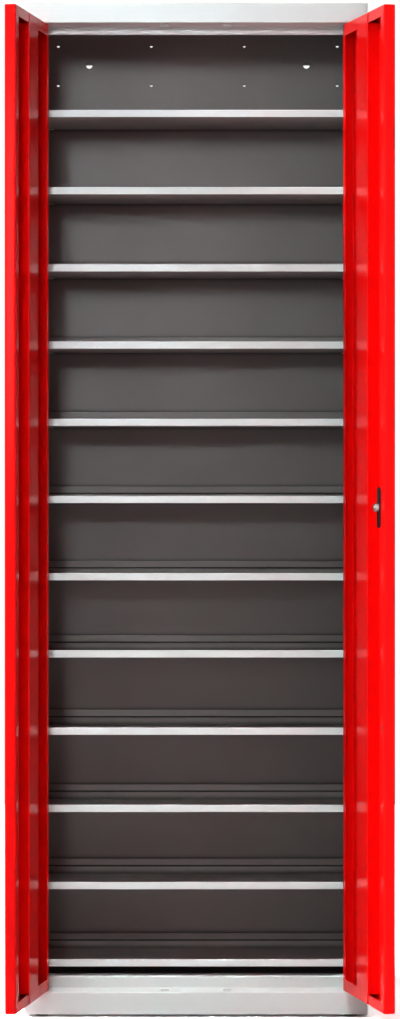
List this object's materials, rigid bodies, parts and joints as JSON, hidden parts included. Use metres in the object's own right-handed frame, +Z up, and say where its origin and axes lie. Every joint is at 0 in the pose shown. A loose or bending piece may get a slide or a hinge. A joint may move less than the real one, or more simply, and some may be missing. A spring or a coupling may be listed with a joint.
{
  "type": "tool cabinet",
  "caption": "Tall, narrow sheet-steel tool cabinet with two hinged doors, a cam lock, levelling feet and tray shelves on slotted uprights for storing tools and boxes.",
  "frame": {"origin": "on the floor, under the middle of the cabinet's body", "axes": "+Z up; the doors face -Y, the back +Y; +X to the right when seen from the front"},
  "size_m": [0.7209, 0.6119, 1.95],
  "materials": {
    "grey_paint": "light grey semi-gloss powder coat",
    "dark_paint": "dark grey fine-textured powder coat",
    "red_paint": "glossy red powder coat",
    "black_plastic": "matt black moulded plastic",
    "black_steel": "black oxide",
    "zinc_steel": "bright zinc plating"
  },
  "bodies": {
    "carcass": {"side_panel_left": "grey_paint", "side_panel_right": "grey_paint", "back_panel": "dark_paint", "roof_panel": "grey_paint", "header_rail": "grey_paint", "base_rail": "grey_paint", "floor_panel": "dark_paint", "upright_front_left": "grey_paint", "upright_front_right": "grey_paint", "upright_rear_left": "grey_paint", "upright_rear_right": "grey_paint", "shelf_tray_01": "dark_paint", "shelf_tray_02": "dark_paint", "shelf_tray_03": "dark_paint", "shelf_tray_04": "dark_paint", "shelf_tray_05": "dark_paint", "shelf_tray_06": "dark_paint", "shelf_tray_07": "dark_paint", "shelf_tray_08": "dark_paint", "shelf_tray_09": "dark_paint", "shelf_tray_10": "dark_paint", "shelf_tray_11": "dark_paint", "shelf_tray_12": "dark_paint", "shelf_trim_01": "grey_paint", "shelf_trim_02": "grey_paint", "shelf_trim_03": "grey_paint", "shelf_trim_04": "grey_paint", "shelf_trim_05": "grey_paint", "shelf_trim_06": "grey_paint", "shelf_trim_07": "grey_paint", "shelf_trim_08": "grey_paint", "shelf_trim_09": "grey_paint", "shelf_trim_10": "grey_paint", "shelf_trim_11": "grey_paint", "shelf_trim_12": "grey_paint", "door_stop_lower_left": "grey_paint", "door_stop_lower_right": "grey_paint", "door_stop_upper_left": "grey_paint", "door_stop_upper_right": "grey_paint"},
    "left_door": {"door_left_pan": "red_paint", "door_left_stiffener": "red_paint", "door_left_pivot_lower": "black_steel", "door_left_pivot_upper": "black_steel"},
    "right_door": {"door_right_pan": "red_paint", "door_right_stiffener": "red_paint", "door_right_pivot_lower": "black_steel", "door_right_pivot_upper": "black_steel", "lock_barrel": "zinc_steel", "lock_nut": "zinc_steel"},
    "lock": {"lock_plug": "zinc_steel", "lock_cam": "black_steel", "lock_cam_nut": "zinc_steel"},
    "foot_front_left_body": {"foot_front_left": "black_plastic"},
    "foot_front_right_body": {"foot_front_right": "black_plastic"},
    "foot_rear_left_body": {"foot_rear_left": "black_plastic"},
    "foot_rear_right_body": {"foot_rear_right": "black_plastic"}
  },
  "joints": [
    {"name": "left_door_hinge", "type": "hinge", "parent": "carcass", "child": "left_door", "pos_m": [-0.296, -0.154, 0], "axis": [0, 0, 1], "range_deg": [-11.6, 98.4]},
    {"name": "right_door_hinge", "type": "hinge", "parent": "carcass", "child": "right_door", "pos_m": [0.296, -0.154, 0], "axis": [0, 0, 1], "range_deg": [-102.6, 7.4]},
    {"name": "lock_turn", "type": "hinge", "parent": "right_door", "child": "lock", "pos_m": [0.3537, -0.41213, 0.983], "axis": [-0.9759, -0.2181, 0], "range_deg": [0, 90]},
    {"name": "foot_front_left_adjust", "type": "slide", "parent": "carcass", "child": "foot_front_left_body", "axis": [0, 0, -1], "range_m": [0, 0.012]},
    {"name": "foot_front_right_adjust", "type": "slide", "parent": "carcass", "child": "foot_front_right_body", "axis": [0, 0, -1], "range_m": [0, 0.012]},
    {"name": "foot_rear_left_adjust", "type": "slide", "parent": "carcass", "child": "foot_rear_left_body", "axis": [0, 0, -1], "range_m": [0, 0.012]},
    {"name": "foot_rear_right_adjust", "type": "slide", "parent": "carcass", "child": "foot_rear_right_body", "axis": [0, 0, -1], "range_m": [0, 0.012]}
  ]
}
